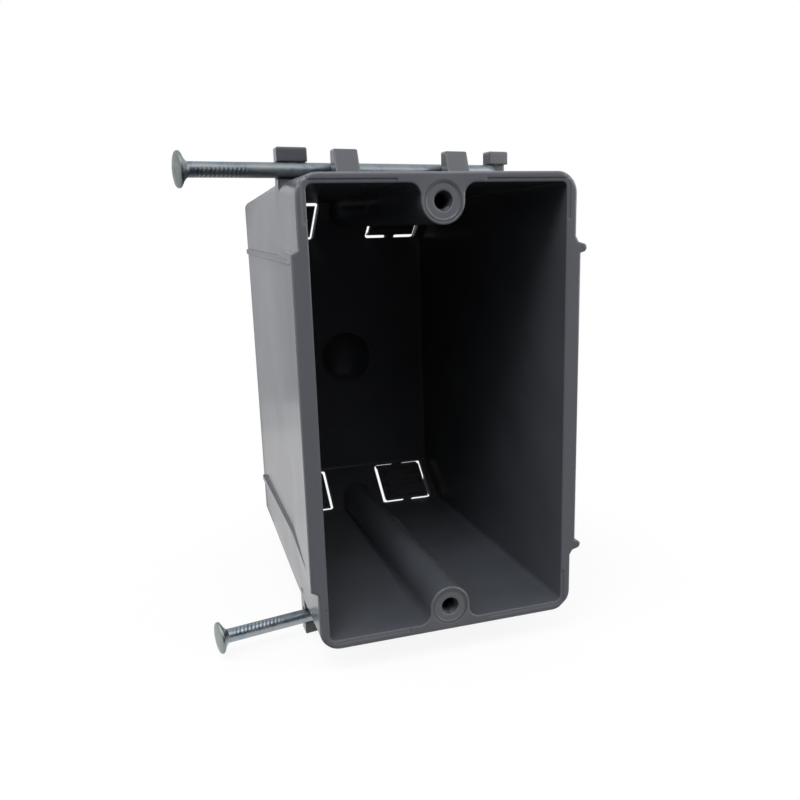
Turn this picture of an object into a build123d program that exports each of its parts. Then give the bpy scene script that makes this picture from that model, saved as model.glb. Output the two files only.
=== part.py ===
from build123d import *
from math import atan2, cos, degrees, hypot, radians, sin, tan
import os

# New work outlet box: a one-gang moulded housing with two captive nails.
# Millimetres. X to the stud side, Y to the rear, Z up.
# The origin lies on the rim's front plane, midway between the two device screw holes.

# Rim and opening
hole_spacing = 83.34  # between the two device screw holes
rim_width = 56.6
rim_stud_side = 0.25  # the stud side of the rim stands this much further out
rim_end = 5.38  # from a screw hole's centre to the rim's end
rim_corner = 4.3
wall = 2.0
opening_corner = 1.2
rim_edge = 0.4
rebate_width = 1.35  # shallow step along the opening in each rim corner
rebate_depth = 0.25
rebate_start_x = 8.9
rebate_start_z = 37.8

# Housing
depth = 86.0
back_wall = 2.2
flare_depth = 31.0  # the front of each wall spreads out to the rim
flare_x = 1.2
flare_z = 1.05
neck_corner = 1.2
draft_x = 1.4  # from the flare to the rear
draft_z = 2.1
rear_corner = 1.9
rear_edge = 1.2
cavity_draft = 1.9
ceiling_draft = 1.45
cavity_round = 1.0  # between the back wall and the side walls

# Side pads, ribs and depth stops
pad_reach = 1.4
pad_flat = 32.5  # half height at full reach
pad_end = 34.8  # half height where the pad runs out
rib_z = 31.6  # ribs of the left wall
rib_width = 1.2
rib_front = 7.0
rib_short = 5.0  # ribs stop this far from the rear
rib_height_mid = 0.5
rib_height_rear = 0.9
rib_root = 1.0
rib_end_round = 0.7
left_drop = 0.55  # the left wall's pad and ribs sit this much lower
stop_radius = 0.85
stop_proud = 0.3  # from the pad's face to the stop's centre line
stop_z = 32.1  # depth stops, and the stud side's ribs behind them
stop_root = 1.6  # half height of a stop in the wall
stop_length = 12.7  # wallboard thickness that the stops set

# Device screw bosses
boss_radius = 4.4
boss_blend = 2.4
boss_draft = 0.3
screw_radius = 1.9
screw_depth = 32.0
seat_radius = 3.85
seat_depth = 0.15

# Sloping rear panels with cable knock-outs
panel_run = 10.8
panel_drop = 9.63
panel_thickness = 2.0
tab_margin = (0.75, 1.57)  # from the left wall and from the right wall
tab_width = 15.0
top_tab_length = 14.4
bottom_tab_length = 13.7
bottom_tab_drop = 0.35  # below its panel's middle
slot_width = 1.1
slot_corner = 1.1
slot_round = 0.5
bridge_width = 2.0
tab_thickness = 1.2
tread_length = 10.0
tread_width = 2.0
tread_height = 0.6
tread_pitch = 3.7
tread_count = 3

# Moulding gate in the back wall
gate_radius = 7.1
gate_rise = 2.4
sprue_radius = 1.1
sprue_height = 0.5

# Nails
nail_radius = 1.52
nail_y = 26.5  # axis where it crosses the middle of the box
nail_above_rim = 1.45
nail_slant = 11.0
nail_standoff = 18.3  # from the rim's side to under the head
nail_length = 75.6  # under the head to the tip
head_radius = 3.45
head_height = 0.75
head_crown = 0.2
neck_length = 1.4
point_length = 6.5
point_square = 3.1  # across the flats where the point starts
point_blunt = 0.2

# Nail posts in front of each nail and nail hooks behind it
nail_clearance = 0.2
post_x = (-13.8, 12.1)
post_width = 5.25
post_top = 2.6  # thickness at the tip
post_rise = 2.3  # above the nail
post_lean = 24.0
hook_inset = (4.0, 3.2)  # from the rim's side to each hook's middle
hook_width = (6.4, 5.0)
hook_stem = 1.6
hook_lip = 2.8
hook_overlap = 0.2  # lip past the nail's axis
saddle_front = 0.5
ear_root = 3.0  # how far the ears reach into the walls
ear_edge = 0.4

# Derived places
rim_half_x = rim_width / 2
hole_z = hole_spacing / 2
rim_half_z = hole_z + rim_end
neck_half_x = rim_half_x - flare_x
neck_half_z = rim_half_z - flare_z
rear_half_x = neck_half_x - draft_x
rear_half_z = neck_half_z - draft_z
rib_rear = depth - rib_short
cavity_depth = depth - back_wall
opening_half_x = rim_half_x - wall
opening_half_z = rim_half_z - wall
pad_x = rim_half_x + pad_reach
boss_top = opening_half_z + wall
blend_z = opening_half_z - boss_blend
slant = radians(nail_slant)
channel = nail_radius + nail_clearance
nail_direction = (cos(slant), sin(slant), 0)
nail_z = rim_half_z + nail_above_rim
under_head_u = -(rim_half_x + nail_standoff) / cos(slant)
hook_x = (-rim_half_x + hook_inset[0], rim_half_x - hook_inset[1])
hook_top_z = nail_z + channel + hook_lip
post_top_z = nail_z + channel + post_rise
ear_root_z = neck_half_z - ear_root


def body_x(y):
    return neck_half_x - draft_x * (y - flare_depth) / (depth - flare_depth)


def cavity_x(y):
    return opening_half_x - y * tan(radians(cavity_draft))


def cavity_z(side, y):
    draft = ceiling_draft if side > 0 else cavity_draft
    return side * (opening_half_z - y * tan(radians(draft)))


def pad_face_x(y):
    return pad_x - (pad_x - neck_half_x) * y / flare_depth


def nail_axis_y(x):
    return nail_y + x * tan(slant)


# Plane of the stud, which the pad meets behind the depth stops
stud_x = pad_face_x(stop_length)

# Rear panels, from the ceiling and the floor to the back wall
panel_front_y = cavity_depth - panel_run
panel_length = hypot(panel_run, panel_drop)
panel_out_y = panel_drop / panel_length
panel_out_z = panel_run / panel_length
panel_through = panel_thickness / panel_out_y  # a panel's thickness towards the rear
tab_reach = cavity_x(cavity_depth) - tab_width / 2
tab_x = (tab_margin[0] - tab_reach, tab_reach - tab_margin[1])


def panel_front_z(side):
    return cavity_z(side, panel_front_y)


def panel_back_z(side):
    return panel_front_z(side) - side * panel_drop


def panel_plane(side, lift):
    mid_y = panel_front_y + panel_run / 2
    mid_z = (panel_front_z(side) + panel_back_z(side)) / 2
    origin = (0, mid_y + lift * panel_out_y, mid_z + side * lift * panel_out_z)
    return Plane(origin=origin, x_dir=(1, 0, 0), z_dir=(0, panel_out_y, side * panel_out_z))


# Side pad: the middle of a side wall spreads wider than the rim's corners
with BuildPart() as side_pad:
    with BuildSketch(Plane.XZ):
        with BuildLine():
            Polyline(
                (neck_half_x - wall, pad_end),
                (rim_half_x, pad_end),
                (pad_x, pad_flat),
                (pad_x, -pad_flat),
                (rim_half_x, -pad_end),
                (neck_half_x - wall, -pad_end),
                close=True,
            )
        make_face()
    extrude(amount=-flare_depth)
    pad_slope = Plane(
        origin=(pad_x, 0, 0),
        x_dir=(0, 0, 1),
        z_dir=(flare_depth, pad_x - neck_half_x, 0),
    )
    split(bisect_by=pad_slope, keep=Keep.BOTTOM)
    pad_front = side_pad.faces().sort_by(Axis.Y)[0]
    fillet(pad_front.edges().filter_by(lambda edge: edge.center().X > rim_half_x), radius=rim_edge)

# Rib of the left wall: low at the front, taller towards the rear
with BuildPart() as left_rib:
    with BuildSketch(Plane.XY):
        with BuildLine():
            Polyline(
                (-pad_face_x(rib_front), rib_front),
                (-neck_half_x - rib_height_mid, flare_depth),
                (-body_x(rib_rear) - rib_height_rear, rib_rear),
                (-body_x(rib_rear) + rib_root, rib_rear),
                (-neck_half_x + rib_root, flare_depth),
                (-pad_face_x(rib_front) + rib_root, rib_front),
                close=True,
            )
        make_face()
    extrude(amount=rib_width / 2, both=True)
    rib_end = left_rib.edges().filter_by(Axis.Z).group_by(Axis.Y)[-1].sort_by(Axis.X)[0]
    fillet(rib_end, radius=rib_end_round)

# Levelling rib of the stud side: makes up for the draft, so that the box sits square to the stud
with BuildPart() as stud_rib:
    with BuildSketch(Plane.XY):
        with BuildLine():
            Polyline(
                (stud_x, stop_length),
                (stud_x, rib_rear),
                (body_x(rib_rear) - rib_root, rib_rear),
                (neck_half_x - rib_root, flare_depth),
                (stud_x - rib_root, stop_length),
                close=True,
            )
        make_face()
    extrude(amount=rib_width / 2, both=True)
    rib_end = stud_rib.edges().filter_by(Axis.Z).group_by(Axis.Y)[-1].sort_by(Axis.X)[-1]
    fillet(rib_end, radius=rib_end_round)

# Nail ears on the top: hooks behind and over the nail, leaning posts in front of it
with BuildPart() as nail_ears:
    for centre_x, width in zip(hook_x, hook_width):
        start_x = centre_x - width / 2
        axis_y = nail_axis_y(start_x)
        with BuildSketch(Plane.YZ.offset(start_x)):
            with BuildLine():
                Polyline(
                    (axis_y - hook_overlap, nail_z + channel),
                    (axis_y + channel, nail_z + channel),
                    (axis_y + channel, nail_z - channel),
                    (axis_y - saddle_front, nail_z - channel),
                    (axis_y - saddle_front, ear_root_z),
                    (axis_y + channel + hook_stem, ear_root_z),
                    (axis_y + channel + hook_stem, hook_top_z),
                    (axis_y - hook_overlap, hook_top_z),
                    close=True,
                )
            make_face()
        extrude(amount=width / cos(slant), dir=nail_direction)
    for centre_x in post_x:
        start_x = centre_x - post_width / 2
        back_y = nail_axis_y(start_x) - channel
        lean_run = (post_top_z - ear_root_z) * tan(radians(post_lean))
        with BuildSketch(Plane.YZ.offset(start_x)):
            with BuildLine():
                Polyline(
                    (back_y, post_top_z),
                    (back_y - post_top, post_top_z),
                    (back_y - post_top - lean_run, ear_root_z),
                    (back_y, ear_root_z),
                    close=True,
                )
            make_face()
        extrude(amount=post_width / cos(slant), dir=nail_direction)
    flat_faces = nail_ears.faces().filter_by(Axis.Z)
    ear_tops = flat_faces.filter_by(lambda face: face.center().Z > nail_z + channel + ear_edge)
    fillet(ear_tops.edges(), radius=ear_edge)

# Hollow: the tapered inside, with the screw bosses and sloping rear panels left standing
rear_ceiling_z = cavity_z(1, cavity_depth)
rear_floor_z = cavity_z(-1, cavity_depth)
with BuildPart() as hollow:
    with BuildSketch(Plane.XZ):
        RectangleRounded(2 * opening_half_x, 2 * opening_half_z, opening_corner)
    with BuildSketch(Plane.XZ.offset(-cavity_depth)):
        with Locations((0, (rear_ceiling_z + rear_floor_z) / 2)):
            RectangleRounded(2 * cavity_x(cavity_depth), rear_ceiling_z - rear_floor_z, opening_corner)
    loft(ruled=True)
    for side in (1, -1):
        with BuildSketch(Plane.XZ):
            with Locations((0, side * hole_z)):
                Circle(boss_radius)
            with Locations((0, side * (hole_z + boss_top) / 2)):
                Rectangle(2 * boss_radius, boss_top - hole_z)
            with Locations((0, side * (blend_z + boss_top) / 2)):
                Rectangle(2 * (boss_radius + boss_blend), boss_top - blend_z)
            with Locations(
                (boss_radius + boss_blend, side * blend_z),
                (-boss_radius - boss_blend, side * blend_z),
            ):
                Circle(boss_blend, mode=Mode.SUBTRACT)
        extrude(amount=-cavity_depth, taper=-boss_draft, mode=Mode.SUBTRACT)
        with BuildSketch(Plane.YZ):
            with BuildLine():
                Polyline(
                    (panel_front_y, panel_front_z(side)),
                    (cavity_depth, panel_back_z(side)),
                    (depth, panel_back_z(side)),
                    (depth, side * rim_half_z),
                    (panel_front_y, side * rim_half_z),
                    close=True,
                )
            make_face()
        extrude(amount=rim_half_x, both=True, mode=Mode.SUBTRACT)
    rear_edges = hollow.faces().sort_by(Axis.Y)[-1].edges().filter_by(Axis.Z)
    fillet(rear_edges, radius=cavity_round)

with BuildPart() as box_body:
    # Outer walls in two drafts
    with BuildSketch(Plane.XZ):
        with Locations((rim_stud_side / 2, 0)):
            RectangleRounded(rim_width + rim_stud_side, 2 * rim_half_z, rim_corner)
    with BuildSketch(Plane.XZ.offset(-flare_depth)):
        RectangleRounded(2 * neck_half_x, 2 * neck_half_z, neck_corner)
    with BuildSketch(Plane.XZ.offset(-depth)):
        RectangleRounded(2 * rear_half_x, 2 * rear_half_z, rear_corner)
    loft(ruled=True)
    fillet(box_body.faces().sort_by(Axis.Y)[-1].edges(), radius=rear_edge)
    fillet(box_body.faces().sort_by(Axis.Y)[0].edges(), radius=rim_edge)

    # Side pads and ribs on both sides
    add(side_pad.part)
    add(Pos(0, 0, -left_drop) * mirror(side_pad.part, about=Plane.YZ, mode=Mode.PRIVATE))
    for side in (1, -1):
        add(Pos(0, 0, side * rib_z - left_drop) * left_rib.part)
        add(Pos(0, 0, side * stop_z) * stud_rib.part)

    # Depth stops on the stud side: round ridges
    for side in (1, -1):
        with BuildSketch(Plane.XZ):
            with Locations((neck_half_x, side * stop_z)):
                Rectangle(stop_radius, 2 * stop_root)
            with Locations((pad_x + stop_proud, side * stop_z)):
                Circle(stop_radius)
            make_hull()
        extrude(amount=-stop_length)

    # Nail hooks and posts on the top and the bottom
    add(nail_ears.part)
    add(mirror(nail_ears.part, about=Plane.XY, mode=Mode.PRIVATE))

    # The inside
    add(hollow.part, mode=Mode.SUBTRACT)

    for side in (1, -1):
        # Recess behind the sloping panel, between the side walls
        with BuildSketch(panel_plane(side, panel_thickness)):
            Rectangle(2 * cavity_x(cavity_depth), 2 * panel_length)
        extrude(amount=panel_length, mode=Mode.SUBTRACT)

        # Cable knock-outs: slots straight to the rear round a thin tab that two bridges hold
        tab_length = top_tab_length if side > 0 else bottom_tab_length
        tab_drop = 0 if side > 0 else bottom_tab_drop
        tab_spots = [(centre_x, tab_drop) for centre_x in tab_x]
        with BuildSketch(panel_plane(side, 0)) as slots:
            with Locations(tab_spots):
                RectangleRounded(tab_width, tab_length, slot_corner)
                Rectangle(tab_width - 2 * slot_width, tab_length - 2 * slot_width, mode=Mode.SUBTRACT)
                Rectangle(bridge_width, tab_length, mode=Mode.SUBTRACT)
            slot_ends = slots.vertices().filter_by(
                lambda vertex: min(abs(vertex.X - centre_x) for centre_x in tab_x) < bridge_width
            )
            fillet(slot_ends, radius=slot_round)
        extrude(amount=panel_through, dir=(0, 1, 0), mode=Mode.SUBTRACT)
        with BuildSketch(panel_plane(side, tab_thickness)):
            with Locations(tab_spots):
                Rectangle(tab_width, tab_length)
        extrude(amount=panel_thickness, mode=Mode.SUBTRACT)
        with BuildSketch(panel_plane(side, 0)):
            with Locations(tab_spots):
                with GridLocations(0, tread_pitch, 1, tread_count):
                    Rectangle(tread_length, tread_width)
        extrude(amount=-tread_height)

    # Screw holes and their seats, the same at both ends
    with BuildSketch(Plane.XZ):
        with Locations((0, hole_z), (0, -hole_z)):
            Circle(screw_radius)
    extrude(amount=-screw_depth, mode=Mode.SUBTRACT)
    with BuildSketch(Plane.XZ):
        with Locations((0, hole_z), (0, -hole_z)):
            Circle(seat_radius)
    extrude(amount=-seat_depth, mode=Mode.SUBTRACT)

    # Shallow step along the opening in each rim corner
    with BuildSketch(Plane.XZ):
        Rectangle(2 * (opening_half_x + rebate_width), 2 * (opening_half_z + rebate_width))
        Rectangle(2 * rebate_start_x, 2 * rim_half_z, mode=Mode.SUBTRACT)
        Rectangle(rim_width, 2 * rebate_start_z, mode=Mode.SUBTRACT)
    extrude(amount=-rebate_depth, mode=Mode.SUBTRACT)

    # Moulding gate: a shallow dome inside, the matching dish and the sprue stub outside
    gate_sphere = (gate_radius**2 + gate_rise**2) / (2 * gate_rise)
    with BuildSketch(Plane.XY):
        with BuildLine():
            RadiusArc((gate_radius, cavity_depth), (0, cavity_depth - gate_rise), gate_sphere)
            Polyline(
                (0, cavity_depth - gate_rise),
                (0, depth - back_wall / 2),
                (gate_radius, depth - back_wall / 2),
                (gate_radius, cavity_depth),
            )
        make_face()
    revolve(axis=Axis.Y)
    with BuildSketch(Plane.XY):
        with BuildLine():
            RadiusArc((gate_radius, depth), (0, depth - gate_rise), gate_sphere)
            Polyline((0, depth - gate_rise), (0, depth), (gate_radius, depth))
        make_face()
    revolve(axis=Axis.Y, mode=Mode.SUBTRACT)
    with BuildSketch(Plane.XZ.offset(gate_rise + back_wall / 2 - depth)):
        Circle(sprue_radius)
    extrude(amount=-(back_wall / 2 + sprue_height))


# Nail: slants towards the rear, held behind the posts and under the hooks
point_u = under_head_u + nail_length - point_length
point_base = (point_u * cos(slant), nail_y + point_u * sin(slant), nail_z)
point_plane = Plane(origin=point_base, x_dir=(0, 0, 1), z_dir=nail_direction)
head_plane = Plane(origin=point_base, x_dir=nail_direction, z_dir=(sin(slant), -cos(slant), 0))
under_head = point_length - nail_length
crown_sphere = (head_radius**2 + head_crown**2) / (2 * head_crown)
with BuildPart() as top_nail:
    # Diamond point: a square pyramid, rounded off by the shank
    with BuildSketch(point_plane):
        Rectangle(point_square, point_square, rotation=45)
    extrude(amount=point_length - point_blunt, taper=degrees(atan2(point_square / 2, point_length)))
    with BuildSketch(point_plane):
        Circle(nail_radius)
    extrude(amount=point_length, mode=Mode.INTERSECT)
    with BuildSketch(point_plane):
        Circle(nail_radius)
    extrude(amount=under_head + neck_length)

    # Flat head with a slight crown and a conical underside
    with BuildSketch(head_plane):
        with BuildLine():
            Polyline(
                (under_head - head_height, 0),
                (under_head + neck_length, 0),
                (under_head + neck_length, nail_radius),
                (under_head, head_radius),
                (under_head - head_height + head_crown, head_radius),
            )
            RadiusArc(
                (under_head - head_height + head_crown, head_radius),
                (under_head - head_height, 0),
                -crown_sphere,
            )
        make_face()
    revolve(axis=Axis(point_base, nail_direction))

bottom_nail = Pos(0, 0, -2 * nail_z) * top_nail.part

box_body.part.label = "box_body"
top_nail.part.label = "top_nail"
bottom_nail.label = "bottom_nail"

os.makedirs("parts", exist_ok=True)
export_step(box_body.part, "parts/box_body.step")
export_step(top_nail.part, "parts/top_nail.step")
export_step(bottom_nail, "parts/bottom_nail.step")
for piece in (box_body.part, top_nail.part, bottom_nail):
    print(piece.label, len(piece.solids()), round(piece.volume, 1), piece.bounding_box())
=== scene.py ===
import math
import bmesh
import bpy
from mathutils import Matrix, Quaternion, Vector


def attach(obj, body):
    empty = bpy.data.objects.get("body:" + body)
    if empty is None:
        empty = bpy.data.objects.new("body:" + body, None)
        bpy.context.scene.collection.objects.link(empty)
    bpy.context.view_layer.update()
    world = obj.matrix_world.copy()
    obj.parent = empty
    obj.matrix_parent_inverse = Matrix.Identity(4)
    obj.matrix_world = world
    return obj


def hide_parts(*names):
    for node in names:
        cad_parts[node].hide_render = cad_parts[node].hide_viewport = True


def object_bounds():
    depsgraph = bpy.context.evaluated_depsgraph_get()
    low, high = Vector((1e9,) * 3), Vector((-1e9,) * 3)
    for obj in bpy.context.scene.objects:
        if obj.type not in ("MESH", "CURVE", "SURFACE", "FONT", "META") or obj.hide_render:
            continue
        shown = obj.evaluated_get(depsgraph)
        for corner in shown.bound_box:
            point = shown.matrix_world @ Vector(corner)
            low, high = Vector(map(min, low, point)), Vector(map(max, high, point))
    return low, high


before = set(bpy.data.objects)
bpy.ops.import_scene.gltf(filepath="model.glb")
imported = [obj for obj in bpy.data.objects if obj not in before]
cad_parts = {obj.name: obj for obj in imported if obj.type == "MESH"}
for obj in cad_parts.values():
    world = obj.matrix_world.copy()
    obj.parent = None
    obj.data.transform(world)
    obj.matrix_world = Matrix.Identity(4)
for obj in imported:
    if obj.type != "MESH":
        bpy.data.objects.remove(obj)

mm = 0.001
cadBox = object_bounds()
scene = bpy.context.scene
scene.view_settings.view_transform = "Standard"
plainWhite = [1.0, 1.0, 1.0, 1.0]
# colour sockets of a Mix node: the two inputs and the output
colourA, colourB, colourOut = 6, 7, 2
print("frame loaded:", sorted(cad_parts))


def linear(hexColour):
    # sRGB hex to linear, with full alpha
    channels = [int(hexColour[start:start + 2], 16) / 255 for start in (1, 3, 5)]
    return [c / 12.92 if c <= 0.04045 else ((c + 0.055) / 1.055) ** 2.4 for c in channels] + [1.0]


def addNode(tree, kind, settings=None, inputs=None):
    # inputs hold plain values, or (node, socket) pairs to link
    node = tree.nodes.new(kind)
    for name, value in (settings or {}).items():
        setattr(node, name, value)
    for key, value in (inputs or {}).items():
        if isinstance(value, tuple) and isinstance(value[0], bpy.types.Node):
            tree.links.new(value[0].outputs[value[1]], node.inputs[key])
        else:
            node.inputs[key].default_value = value
    return node


def newMaterial(name):
    material = bpy.data.materials.new(name)
    material.use_nodes = True
    material.node_tree.nodes.clear()
    return material, material.node_tree


# Rigid PVC from a finely etched mould: satin, neutral grey, with a soft mottle,
# a fine grain and a little light dust, and a front face and screw seats painted paler for the
# light they catch
pvc = {
    "colour": "#55575b",
    "mottleColour": "#505256",
    "mottleSize": 14 * mm,
    "mottleDetail": 3.0,
    "mottleLimits": (0.35, 0.65),  # noise values where each colour is full
    "rimLitColour": "#6b6d71",  # painted light: the front face is painted paler for the light it catches
    "rimDepth": (0.15 * mm, 0.25 * mm),
    "seatLitColour": "#717375",  # painted light: the screw seats are painted paler still, for the light they catch
    "seatPlace": (0, 0, 41.67 * mm),
    "seatReach": (3.6 * mm, 6.5 * mm),
    "dustColour": "#8a8c90",
    "dustSpacing": 11 * mm,
    "dustSize": 0.1 * mm,
    "dustFade": 1.6,  # how far a speck's soft edge reaches, in its own size
    "ior": 1.53,
    "roughness": (0.235, 0.268),
    "roughLimits": (0.3, 0.7),
    "grainSize": 0.5 * mm,  # the real grain is about 0.1 mm, drawn coarser to show
    "grainDetail": 2.0,
    "grainDepth": 0.004 * mm,
    "edgeRadius": 0.6 * mm,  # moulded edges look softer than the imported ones
    "edgeSamples": 4,
}


def makePvc():
    material, tree = newMaterial("mouldedPvc")
    place = addNode(tree, "ShaderNodeTexCoord")
    mottle = addNode(tree, "ShaderNodeTexNoise", inputs={
        "Vector": (place, "Object"), "Scale": 1 / pvc["mottleSize"],
        "Detail": pvc["mottleDetail"]})
    clouds = addNode(tree, "ShaderNodeMapRange", inputs={
        "Value": (mottle, "Fac"),
        "From Min": pvc["mottleLimits"][0], "From Max": pvc["mottleLimits"][1]})
    colour = addNode(tree, "ShaderNodeMix", {"data_type": "RGBA"}, {
        "Factor": (clouds, "Result"),
        colourA: linear(pvc["mottleColour"]), colourB: linear(pvc["colour"])})
    dust = addNode(tree, "ShaderNodeTexVoronoi", inputs={
        "Vector": (place, "Object"), "Scale": 1 / pvc["dustSpacing"]})
    edge = pvc["dustSize"] / pvc["dustSpacing"]
    dustMask = addNode(tree, "ShaderNodeMapRange", inputs={
        "Value": (dust, "Distance"), "From Min": edge, "From Max": edge * pvc["dustFade"],
        "To Min": 1.0, "To Max": 0.0})
    axes = addNode(tree, "ShaderNodeSeparateXYZ", inputs={"Vector": (place, "Object")})
    rimLightMask = addNode(tree, "ShaderNodeMapRange", inputs={
        "Value": (axes, "Y"), "From Min": pvc["rimDepth"][0], "From Max": pvc["rimDepth"][1],
        "To Min": 1.0, "To Max": 0.0})
    # painted light: the front face is painted paler, standing in for the light it catches
    rimLit = addNode(tree, "ShaderNodeMix", {"data_type": "RGBA"}, {
        "Factor": (rimLightMask, "Result"),
        colourA: (colour, colourOut), colourB: linear(pvc["rimLitColour"])})
    # distance from the nearer screw hole's axis
    height = addNode(tree, "ShaderNodeMath", {"operation": "ABSOLUTE"}, {0: (axes, "Z")})
    flat = addNode(tree, "ShaderNodeCombineXYZ", inputs={
        "X": (axes, "X"), "Z": (height, "Value")})
    away = addNode(tree, "ShaderNodeVectorMath", {"operation": "DISTANCE"}, {
        0: (flat, "Vector"), 1: pvc["seatPlace"]})
    seatMask = addNode(tree, "ShaderNodeMapRange", inputs={
        "Value": (away, "Value"),
        "From Min": pvc["seatReach"][0], "From Max": pvc["seatReach"][1],
        "To Min": 1.0, "To Max": 0.0})
    seat = addNode(tree, "ShaderNodeMath", {"operation": "MULTIPLY"}, {
        0: (seatMask, "Result"), 1: (rimLightMask, "Result")})
    # painted light: the screw seats on the front face are painted paler still
    seatLit = addNode(tree, "ShaderNodeMix", {"data_type": "RGBA"}, {
        "Factor": (seat, "Value"),
        colourA: (rimLit, colourOut), colourB: linear(pvc["seatLitColour"])})
    base = addNode(tree, "ShaderNodeMix", {"data_type": "RGBA"}, {
        "Factor": (dustMask, "Result"),
        colourA: (seatLit, colourOut), colourB: linear(pvc["dustColour"])})
    grain = addNode(tree, "ShaderNodeTexNoise", inputs={
        "Vector": (place, "Object"), "Scale": 1 / pvc["grainSize"],
        "Detail": pvc["grainDetail"]})
    rough = addNode(tree, "ShaderNodeMapRange", inputs={
        "Value": (mottle, "Fac"),
        "From Min": pvc["roughLimits"][0], "From Max": pvc["roughLimits"][1],
        "To Min": pvc["roughness"][0], "To Max": pvc["roughness"][1]})
    softEdge = addNode(tree, "ShaderNodeBevel", {"samples": pvc["edgeSamples"]}, {
        "Radius": pvc["edgeRadius"]})
    bump = addNode(tree, "ShaderNodeBump", inputs={
        "Height": (grain, "Fac"), "Distance": pvc["grainDepth"], "Strength": 1.0,
        "Normal": (softEdge, "Normal")})
    shader = addNode(tree, "ShaderNodeBsdfPrincipled", inputs={
        "Base Color": (base, colourOut), "Roughness": (rough, "Result"),
        "Normal": (bump, "Normal"), "IOR": pvc["ior"]})
    addNode(tree, "ShaderNodeOutputMaterial", inputs={"Surface": (shader, "BSDF")})
    return material


# Drawn steel wire with a thin clear zinc plating: bright, cool grey, with drawing
# lines along the wire and faint blue and straw clouds in the plating
zinc = {
    "colour": "#8e979e",
    "blueColour": "#7b8790",
    "blueLimits": (0.3, 0.5),  # noise values where blue is full and where it ends
    "strawColour": "#959793",
    "strawLimits": (0.5, 0.72),  # where straw starts and where it is full
    "cloudSize": 1.8 * mm,
    "cloudDetail": 4.0,
    "paintedLightTones": {"upperNail": 0.8, "lowerNail": 1.2},  # painted light: the upper nail is painted darker and the lower one paler, for the light each catches and reflects
    "headColour": "#7a817f",  # struck heads take a duller, warmer plating
    "headEnd": (-46.5 * mm, -45.5 * mm),
    "roughness": (0.3, 0.44),
    "roughLimits": (0.3, 0.7),
    "lineSize": 0.12 * mm,
    "lineLength": 6 * mm,
    "lineDepth": 0.01 * mm,
}


def toned(hexColour, tone):
    return [channel * tone for channel in linear(hexColour)[:3]] + [1.0]


def makeZinc(name, turn):
    material, tree = newMaterial("zincPlatedSteel")
    # painted light: each nail's colours are scaled by its own tone, lit and shaded copies of one
    # plating
    tone = zinc["paintedLightTones"][name]
    place = addNode(tree, "ShaderNodeTexCoord")
    along = addNode(tree, "ShaderNodeMapping", {"vector_type": "TEXTURE"}, {
        "Vector": (place, "Object"), "Rotation": (0, 0, turn),
        "Scale": (zinc["lineLength"], zinc["lineSize"], zinc["lineSize"])})
    lines = addNode(tree, "ShaderNodeTexNoise", inputs={"Vector": (along, "Vector"), "Scale": 1.0})
    clouds = addNode(tree, "ShaderNodeTexNoise", inputs={
        "Vector": (place, "Object"), "Scale": 1 / zinc["cloudSize"],
        "Detail": zinc["cloudDetail"]})
    cool = addNode(tree, "ShaderNodeMapRange", inputs={
        "Value": (clouds, "Fac"),
        "From Min": zinc["blueLimits"][0], "From Max": zinc["blueLimits"][1]})
    warm = addNode(tree, "ShaderNodeMapRange", inputs={
        "Value": (clouds, "Fac"),
        "From Min": zinc["strawLimits"][0], "From Max": zinc["strawLimits"][1]})
    coolColour = addNode(tree, "ShaderNodeMix", {"data_type": "RGBA"}, {
        "Factor": (cool, "Result"),
        colourA: toned(zinc["blueColour"], tone), colourB: toned(zinc["colour"], tone)})
    colour = addNode(tree, "ShaderNodeMix", {"data_type": "RGBA"}, {
        "Factor": (warm, "Result"),
        colourA: (coolColour, colourOut), colourB: toned(zinc["strawColour"], tone)})
    axes = addNode(tree, "ShaderNodeSeparateXYZ", inputs={"Vector": (place, "Object")})
    shank = addNode(tree, "ShaderNodeMapRange", inputs={
        "Value": (axes, "X"), "From Min": zinc["headEnd"][0], "From Max": zinc["headEnd"][1]})
    base = addNode(tree, "ShaderNodeMix", {"data_type": "RGBA"}, {
        "Factor": (shank, "Result"),
        colourA: toned(zinc["headColour"], tone), colourB: (colour, colourOut)})
    rough = addNode(tree, "ShaderNodeMapRange", inputs={
        "Value": (clouds, "Fac"),
        "From Min": zinc["roughLimits"][0], "From Max": zinc["roughLimits"][1],
        "To Min": zinc["roughness"][0], "To Max": zinc["roughness"][1]})
    bump = addNode(tree, "ShaderNodeBump", inputs={
        "Height": (lines, "Fac"), "Distance": zinc["lineDepth"], "Strength": 1.0})
    shader = addNode(tree, "ShaderNodeBsdfPrincipled", inputs={
        "Base Color": (base, colourOut), "Roughness": (rough, "Result"),
        "Normal": (bump, "Normal"), "Metallic": 1.0})
    addNode(tree, "ShaderNodeOutputMaterial", inputs={"Surface": (shader, "BSDF")})
    return material


def newObject(name, shape, material):
    mesh = bpy.data.meshes.new(name)
    shape.to_mesh(mesh)
    shape.free()
    mesh.materials.append(material)
    made = bpy.data.objects.new(name, mesh)
    scene.collection.objects.link(made)
    return made


def newPiece(name, shape, material, body, node):
    piece = newObject(name, shape, material)
    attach(piece, body)
    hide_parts(node)


def smoothByAngle(shape, angle):
    for face in shape.faces:
        face.smooth = True
    for edge in shape.edges:
        edge.smooth = edge.is_manifold and edge.calc_face_angle(0) < angle


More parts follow.
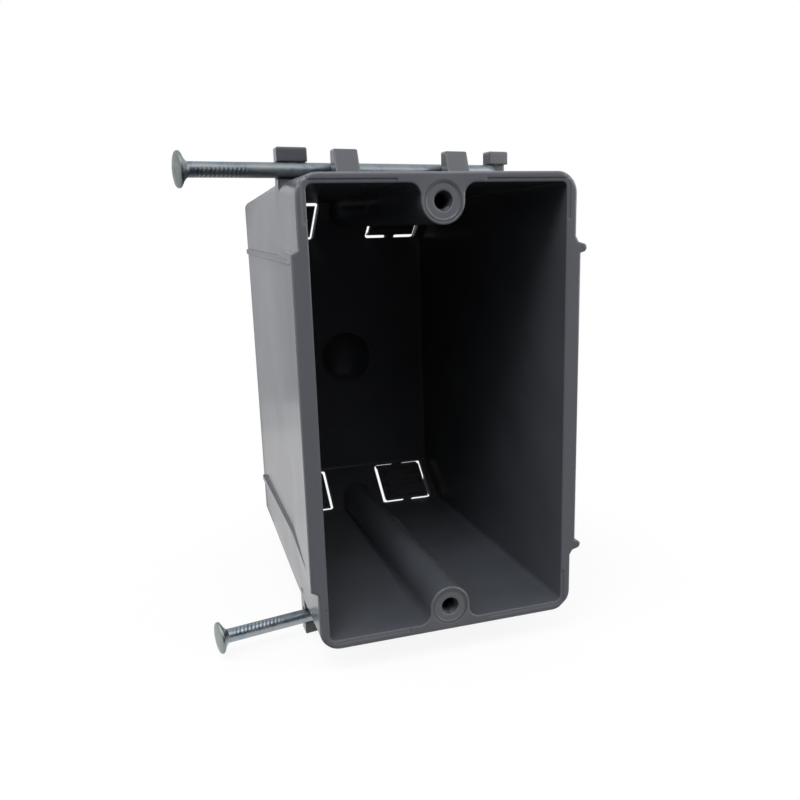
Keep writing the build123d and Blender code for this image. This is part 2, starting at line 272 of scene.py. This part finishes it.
# Housing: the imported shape, merged, with smooth fillets and crisp edges, a softer
# step along the opening, shorter ends to the left pad, a fine bead round each screw
# seat, thread lines in its hole and round edges to the upper left rib
housing = {
    "mergeDistance": 0.002 * mm,
    "sharpAngle": math.radians(28),
    "rebateDepth": 0.25 * mm,
    "softRebateDepth": 0.12 * mm,
    "rebateEdge": (27.65 * mm, 46.4 * mm),
    "softRebateEdge": (27.1 * mm, 45.85 * mm),
    "rebateStartZ": 37.8 * mm,
    "rebateCorner": (26.3 * mm, 45.1 * mm),  # where the step turns round the corner
    "leftPad": {
        "middleZ": -0.55 * mm,
        "flat": 32.5 * mm,  # half height of the crest, packed and drawn
        "longFlat": 33.2 * mm,
        "end": 34.8 * mm,  # half height of the foot, packed and drawn
        "shortEnd": 34.0 * mm,
        "wallEnd": 37.0 * mm,  # where the foot runs out on the wall
        "near": 0.1 * mm,
        "pastX": 26.9 * mm,
        "faceX": 28.0 * mm,
        "crestX": 29.2 * mm,
        "frontY": 1 * mm,
        "depth": 30 * mm,
    },
    "seatZ": pvc["seatPlace"][2],
    "seatBead": {"radius": 3.6 * mm, "tube": 0.13 * mm, "depths": [0.14 * mm]},
    "thread": {"radius": 1.72 * mm, "tube": 0.16 * mm,
               "depths": [0.9 * mm, 1.7 * mm, 2.5 * mm, 3.3 * mm]},
    "ringSides": 10,
    "ringSteps": 48,
    "ribEdges": {  # points along each edge in mm, with the edge's own radius
        "upper": [(-29.05, 9, 31.4, 0.05), (-27.5, 31, 31.47, 0.22), (-26.6, 79, 31.47, 0.22)],
        "lower": [(-29.4, 3, 30.85, 0.16), (-27.5, 31, 30.63, 0.24), (-26.6, 79, 30.63, 0.22)],
    },
    "ribSides": 12,
}


def softenRebate(shape):
    # the step is narrower and shallower to the eye than it is packed
    near = housing["mergeDistance"]
    edgeX, edgeZ = housing["rebateEdge"]
    softX, softZ = housing["softRebateEdge"]
    cornerX, cornerZ = housing["rebateCorner"]
    for vert in shape.verts:
        x, y, z = vert.co
        if y > housing["rebateDepth"] + near or abs(x) > edgeX + near or abs(z) > edgeZ + near:
            continue
        atDepth = abs(y - housing["rebateDepth"]) < near
        if abs(abs(x) - edgeX) < near and abs(z) > housing["rebateStartZ"] - near:
            vert.co.x = math.copysign(softX, x)
        elif abs(abs(z) - edgeZ) < near:
            vert.co.z = math.copysign(softZ, z)
        elif atDepth and abs(x) > cornerX and abs(z) > cornerZ:
            shareX = (abs(x) - cornerX) / (edgeX - cornerX)
            shareZ = (abs(z) - cornerZ) / (edgeZ - cornerZ)
            vert.co.x += math.copysign(shareX, x) * (softX - edgeX)
            vert.co.z += math.copysign(shareZ, z) * (softZ - edgeZ)
        if atDepth:
            vert.co.y = housing["softRebateDepth"]


def shortenPadEnds(shape, values):
    # the left pad's ends are steeper to the eye, and run out softly on the wall
    near = values["near"]
    for vert in shape.verts:
        x, y, z = vert.co
        height = abs(z - values["middleZ"])
        shift = 0.0
        if x < -values["pastX"] and y < values["depth"] and abs(height - values["end"]) < near:
            onWall = y > values["frontY"] and x > -values["faceX"]
            shift = (values["wallEnd"] if onWall else values["shortEnd"]) - values["end"]
        elif (x < -values["crestX"] and y < values["frontY"] and
              abs(height - values["flat"]) < near):
            shift = values["longFlat"] - values["flat"]
        vert.co.z += shift * math.copysign(1, z - values["middleZ"])


def addRings(shape, values, height):
    # small rings round the axis of a screw hole
    for depth in values["depths"]:
        centre = Vector((0, depth, height))
        start = Matrix.Translation(centre + Vector((values["radius"], 0, 0)))
        circle = bmesh.ops.create_circle(shape, segments=housing["ringSides"],
                                         radius=values["tube"], matrix=start)
        edges = list({edge for vert in circle["verts"] for edge in vert.link_edges})
        bmesh.ops.spin(shape, geom=circle["verts"] + edges, cent=centre, axis=(0, 1, 0),
                       angle=2 * math.pi, steps=housing["ringSteps"], use_merge=True)


def addRibEdge(shape, points):
    # a fine round bar from point to point
    for (*start, startRadius), (*end, endRadius) in zip(points, points[1:]):
        start, end = Vector(start) * mm, Vector(end) * mm
        bar = bmesh.ops.create_cone(shape, cap_ends=True, segments=housing["ribSides"],
                                    radius1=startRadius * mm, radius2=endRadius * mm,
                                    depth=(end - start).length)
        turn = (end - start).to_track_quat("Z", "Y").to_matrix().to_4x4()
        place = Matrix.Translation((start + end) / 2)
        bmesh.ops.transform(shape, matrix=place @ turn, verts=bar["verts"])


def makeHousing(material):
    shape = bmesh.new()
    shape.from_mesh(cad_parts["box_body"].data)
    bmesh.ops.remove_doubles(shape, verts=shape.verts, dist=housing["mergeDistance"])
    softenRebate(shape)
    shortenPadEnds(shape, housing["leftPad"])
    for height in (housing["seatZ"], -housing["seatZ"]):
        addRings(shape, housing["seatBead"], height)
        addRings(shape, housing["thread"], height)
    for points in housing["ribEdges"].values():
        addRibEdge(shape, points)
    bmesh.ops.recalc_face_normals(shape, faces=shape.faces)
    smoothByAngle(shape, housing["sharpAngle"])
    print("housing:", len(shape.faces), "faces")
    newPiece("housing", shape, material, "box", "box_body")


makeHousing(makePvc())

# Nails: head, neck, shank with grip marks from the wire dies, diamond point
nail = {
    "radius": 1.52 * mm,
    "headRadius": 3.45 * mm,
    "headHeight": 0.75 * mm,
    "headCrown": 0.2 * mm,
    "crownFlat": 0.35,  # share of the head's radius
    "crownRings": [(0.35, 0.72), (0.75, 0.92), (1, 0.965), (1.9, 1)],  # of crown, of radius
    "edgeRings": [(-0.12 * mm, 1), (0.02 * mm, 0.97)],  # height, share of the head's radius
    "neckLength": 1.4 * mm,
    "neckRings": [(0.45, 1.5), (0.8, 1.12), (1, 1)],  # of the length, of the shank's radius
    "length": 75.6 * mm,
    "shankRings": [15 * mm, 35 * mm],  # past the grip marks
    "pointLength": 6.5 * mm,
    "pointDiagonal": 2.192 * mm,
    "pointBlunt": 0.2 * mm,
    "pointSteps": 14,
    "slant": math.radians(11),
    "underHeadX": -46.6 * mm,
    "axisY": 26.5 * mm,
    "axisZ": 48.5 * mm,
    "sides": 48,
    "sharpAngle": math.radians(32),
    "gripStart": 2.2 * mm,
    "gripEnd": 14.5 * mm,
    "gripPitch": 0.85 * mm,
    "gripSteps": 7,  # rings to a pitch
    "gripFade": 3,  # pitches over which the last marks fade
    "gripDepths": {"upperNail": 0.09 * mm, "lowerNail": 0.035 * mm},
    "gripLean": 0.5 * mm,  # along the nail, per radian round it
    "gripWidth": math.radians(62),
    "gripTurns": {"upperNail": math.radians(-50), "lowerNail": math.radians(40)},
    "gripRound": 0.6,  # powers that shape a mark round the nail and along it
    "gripAlong": 1.5,
}


def pushRing(shape, ring, height, radius):
    # extrude a ring of edges and set the new one's height and radius
    made = bmesh.ops.extrude_edge_only(shape, edges=ring)["geom"]
    verts = [item for item in made if isinstance(item, bmesh.types.BMVert)]
    edges = [item for item in made if isinstance(item, bmesh.types.BMEdge) and
             all(vert in verts for vert in item.verts)]
    for vert in verts:
        angle = math.atan2(vert.co.y, vert.co.x)
        reach = radius(angle)
        vert.co = Vector((reach * math.cos(angle), reach * math.sin(angle), height))
    return edges


def gripRadius(height, turn, gripDepth):
    # marks on two opposite sides of the shank
    def reach(angle):
        depth = 0.0
        for side in (turn, turn + math.pi):
            off = math.remainder(angle - side, 2 * math.pi)
            window = 0.0
            if abs(off) < nail["gripWidth"]:
                window = max(0.0, math.cos(off * math.pi / 2 / nail["gripWidth"]))
            phase = (height + nail["gripLean"] * off) / nail["gripPitch"]
            wave = 0.5 + 0.5 * math.cos(2 * math.pi * phase)
            fade = min(1.0, (height - nail["gripStart"]) / nail["gripPitch"],
                       (nail["gripEnd"] - height) / nail["gripPitch"] / nail["gripFade"])
            depth += max(0.0, fade) * window ** nail["gripRound"] * wave ** nail["gripAlong"]
        return nail["radius"] - gripDepth * depth
    return reach


def pointRadius(share):
    # square across, where that is inside the round shank
    def reach(angle):
        corner = abs(math.cos(angle)) + abs(math.sin(angle))
        flat = nail["pointDiagonal"] * (1 - share) / corner
        return min(nail["radius"], flat)
    return reach


def plainRadius(value):
    return lambda angle: value


def makeNail(name, body, node, side):
    shape = bmesh.new()
    rim = nail["headRadius"]
    top = -nail["headHeight"]
    bmesh.ops.create_circle(shape, cap_ends=True, segments=nail["sides"],
                            radius=rim * nail["crownFlat"],
                            matrix=Matrix.Translation((0, 0, top)))
    ring = [edge for edge in shape.edges if edge.is_boundary]
    steps = [(top + nail["headCrown"] * rise, rim * reach) for rise, reach in nail["crownRings"]]
    steps += [(height, rim * reach) for height, reach in nail["edgeRings"]]
    steps += [(nail["neckLength"] * rise, nail["radius"] * reach)
              for rise, reach in nail["neckRings"]]
    for height, radius in steps:
        ring = pushRing(shape, ring, height, plainRadius(radius))
    turn = nail["gripTurns"][name]
    gripLength = nail["gripEnd"] - nail["gripStart"]
    count = round(gripLength / nail["gripPitch"] * nail["gripSteps"])
    for index in range(count + 1):
        height = nail["gripStart"] + gripLength * index / count
        ring = pushRing(shape, ring, height, gripRadius(height, turn, nail["gripDepths"][name]))
    pointStart = nail["length"] - nail["pointLength"]
    for height in [nail["gripEnd"] + past for past in nail["shankRings"]] + [pointStart]:
        ring = pushRing(shape, ring, height, plainRadius(nail["radius"]))
    last = 1 - nail["pointBlunt"] / nail["pointLength"]
    for index in range(1, nail["pointSteps"] + 1):
        share = last * index / nail["pointSteps"]
        ring = pushRing(shape, ring, pointStart + share * nail["pointLength"], pointRadius(share))
    bmesh.ops.contextual_create(shape, geom=ring)
    bmesh.ops.recalc_face_normals(shape, faces=shape.faces)
    # local z runs along the nail, local x points up
    along = Vector((math.cos(nail["slant"]), math.sin(nail["slant"]), 0))
    up = Vector((0, 0, 1))
    across = along.cross(up)
    start = Vector((nail["underHeadX"],
                    nail["axisY"] + nail["underHeadX"] * math.tan(nail["slant"]),
                    side * nail["axisZ"]))
    place = Matrix((up, across, along)).transposed().to_4x4()
    bmesh.ops.transform(shape, matrix=Matrix.Translation(start) @ place, verts=shape.verts)
    smoothByAngle(shape, nail["sharpAngle"])
    print(name + ":", len(shape.faces), "faces")
    newPiece(name, shape, makeZinc(name, nail["slant"]), body, node)


makeNail("upperNail", "upper_nail", "top_nail", 1)
makeNail("lowerNail", "lower_nail", "bottom_nail", -1)

# Studio: pale floor, soft lamps, cards that shape the reflections
studio = {
    "floorColour": "#f2f2f2",
    "floorBounce": "#8a8a8a",  # what it throws back on the object
    "floorSize": 3.0,
    "floorGlow": 0.9,  # share of plain white near the object, the rest keeps its shadow
    "shadowMiddle": (0.0, 43 * mm, cadBox[0].z),
    "shadowReach": (55 * mm, 92 * mm),  # where the floor turns plain white
    "ambient": 0.52,
    "lamps": {
        "keyLamp": {"power": 2.7, "size": 0.3, "colour": "#eaf0ff",
                    "place": (-0.23, -0.29, 0.64)},
        "rightLamp": {"power": 3.9, "size": 0.8, "colour": "#ffffff",
                      "place": (0.65, -0.18, 0.12)},
        "leftLamp": {"power": 1.5, "size": 0.5, "colour": "#ffffff",
                     "place": (-0.5, 0.06, 0.35)},
        "frontLamp": {"power": 1.0, "size": 0.5, "colour": "#ffffff",
                      "place": (0.05, -0.4, 0.62)},
    },
    "cards": {
        "frontCard": {"colour": "#3a3a3c", "size": (1.4, 0.45), "tilt": 90,
                      "place": (0.0, -0.55, 0.125)},
        "floorCard": {"colour": "#3a3a3c", "size": (1.4, 0.5), "tilt": 0,
                      "place": (0.0, -0.3, -0.0525)},
        "rearCardLeft": {"colour": "#fafafa", "size": (0.3, 0.15), "tilt": 90,
                         "place": (-0.19, 0.225, 0.022)},
        # painted shadow: darker than the left card, standing in for the box's own shadow behind it
        # where the left wall reflects it
        "rearCardRight": {"colour": "#747474", "size": (0.4, 0.115), "tilt": 90,
                          "place": (0.16, 0.287, 0.0045)},
        # painted shadow: a dark sheet seen only in reflections, standing in for the contact shadow
        # in front of the box
        "apronCard": {"colour": "#3a3a3c", "size": (0.16, 0.05), "tilt": 0,
                      "place": (0.0, -0.028, -0.0525), "onlyReflects": True},
        "backCard": {"colour": "#5c5c5e", "size": (0.054, 0.12), "tilt": 90,
                     "place": (0.0, 0.1, 0.0), "onlyReflects": True},
    },
}


def seenAsBackground(tree):
    # 1 where it is looked at, straight or mirrored, and 0 where it lights the object
    path = addNode(tree, "ShaderNodeLightPath")
    either = addNode(tree, "ShaderNodeMath", {"operation": "MAXIMUM"}, {
        0: (path, "Is Camera Ray"), 1: (path, "Is Glossy Ray")})
    return addNode(tree, "ShaderNodeMath", {"operation": "MAXIMUM"}, {
        0: (either, "Value"), 1: (path, "Is Transmission Ray")})


def makeFloor():
    material, tree = newMaterial("paleFloor")
    seen = seenAsBackground(tree)
    colour = addNode(tree, "ShaderNodeMix", {"data_type": "RGBA"}, {
        "Factor": (seen, "Value"),
        colourA: linear(studio["floorBounce"]), colourB: linear(studio["floorColour"])})
    matte = addNode(tree, "ShaderNodeBsdfDiffuse", inputs={"Color": (colour, colourOut)})
    white = addNode(tree, "ShaderNodeEmission", inputs={"Color": plainWhite, "Strength": 1.0})
    place = addNode(tree, "ShaderNodeTexCoord")
    away = addNode(tree, "ShaderNodeVectorMath", {"operation": "DISTANCE"}, {
        0: (place, "Object"), 1: studio["shadowMiddle"]})
    glow = addNode(tree, "ShaderNodeMapRange", inputs={
        "Value": (away, "Value"),
        "From Min": studio["shadowReach"][0], "From Max": studio["shadowReach"][1],
        "To Min": studio["floorGlow"], "To Max": 1.0})
    share = addNode(tree, "ShaderNodeMath", {"operation": "MULTIPLY"}, {
        0: (seen, "Value"), 1: (glow, "Result")})
    mixed = addNode(tree, "ShaderNodeMixShader", inputs={
        "Fac": (share, "Value"), 1: (matte, "BSDF"), 2: (white, "Emission")})
    addNode(tree, "ShaderNodeOutputMaterial", inputs={"Surface": (mixed, "Shader")})
    shape = bmesh.new()
    bmesh.ops.create_grid(shape, x_segments=1, y_segments=1, size=studio["floorSize"] / 2,
                          matrix=Matrix.Translation((0, 0, cadBox[0].z)))
    floor = newObject("floor", shape, material)


def makeCard(name, values):
    material, tree = newMaterial(name)
    matte = addNode(tree, "ShaderNodeBsdfDiffuse", inputs={"Color": linear(values["colour"])})
    addNode(tree, "ShaderNodeOutputMaterial", inputs={"Surface": (matte, "BSDF")})
    # a unit square, stretched to the card's size
    shape = bmesh.new()
    bmesh.ops.create_grid(shape, x_segments=1, y_segments=1, size=0.5)
    bmesh.ops.scale(shape, verts=shape.verts, vec=(values["size"][0], values["size"][1], 1))
    tilt = Matrix.Rotation(math.radians(values["tilt"]), 3, "X")
    bmesh.ops.rotate(shape, verts=shape.verts, matrix=tilt)
    bmesh.ops.translate(shape, verts=shape.verts, vec=values["place"])
    card = newObject(name, shape, material)
    card.visible_camera = False  # it only shades and reflects
    if values.get("onlyReflects"):
        card.visible_diffuse = False
        card.visible_shadow = False


def makeWorld():
    world = bpy.data.worlds.new("studio")
    world.use_nodes = True
    tree = world.node_tree
    tree.nodes.clear()
    seen = seenAsBackground(tree)
    soft = addNode(tree, "ShaderNodeBackground", inputs={
        "Color": plainWhite, "Strength": studio["ambient"]})
    white = addNode(tree, "ShaderNodeBackground", inputs={"Color": plainWhite, "Strength": 1.0})
    mixed = addNode(tree, "ShaderNodeMixShader", inputs={
        "Fac": (seen, "Value"), 1: (soft, "Background"), 2: (white, "Background")})
    addNode(tree, "ShaderNodeOutputWorld", inputs={"Surface": (mixed, "Shader")})
    scene.world = world


def makeLamp(name, values, target):
    data = bpy.data.lights.new(name, "AREA")
    data.energy = values["power"]
    data.size = values["size"]
    data.color = linear(values["colour"])[:3]
    lamp = bpy.data.objects.new(name, data)
    lamp.location = values["place"]
    lamp.rotation_euler = (target - lamp.location).to_track_quat("-Z", "Y").to_euler()
    scene.collection.objects.link(lamp)


makeFloor()
makeWorld()
for cardName, cardValues in studio["cards"].items():
    makeCard(cardName, cardValues)
middle = (cadBox[0] + cadBox[1]) / 2
for lampName, lampValues in studio["lamps"].items():
    makeLamp(lampName, lampValues, middle)
print("studio ready")

# Camera at the photograph's place, fitted to the box's edges
view = {
    "place": (-58.597 * mm, -157.733 * mm, 38.224 * mm),
    "towards": (0.31620, 0.91602, -0.24684),
    "roll": math.radians(-1.3),
    "lens": 38.556,
    "sensorWidth": 36,
    "shift": (-0.0353, 0.0477),
    "clipStart": 0.01,
}


def makeCamera():
    data = bpy.data.cameras.new("photoCamera")
    data.sensor_width = view["sensorWidth"]
    data.lens = view["lens"]
    data.shift_x, data.shift_y = view["shift"]
    data.clip_start = view["clipStart"]
    camera = bpy.data.objects.new("photoCamera", data)
    camera.location = view["place"]
    camera.rotation_mode = "QUATERNION"
    turn = Vector(view["towards"]).to_track_quat("-Z", "Y")
    camera.rotation_quaternion = turn @ Quaternion((0, 0, 1), view["roll"])
    scene.collection.objects.link(camera)
    scene.camera = camera


makeCamera()
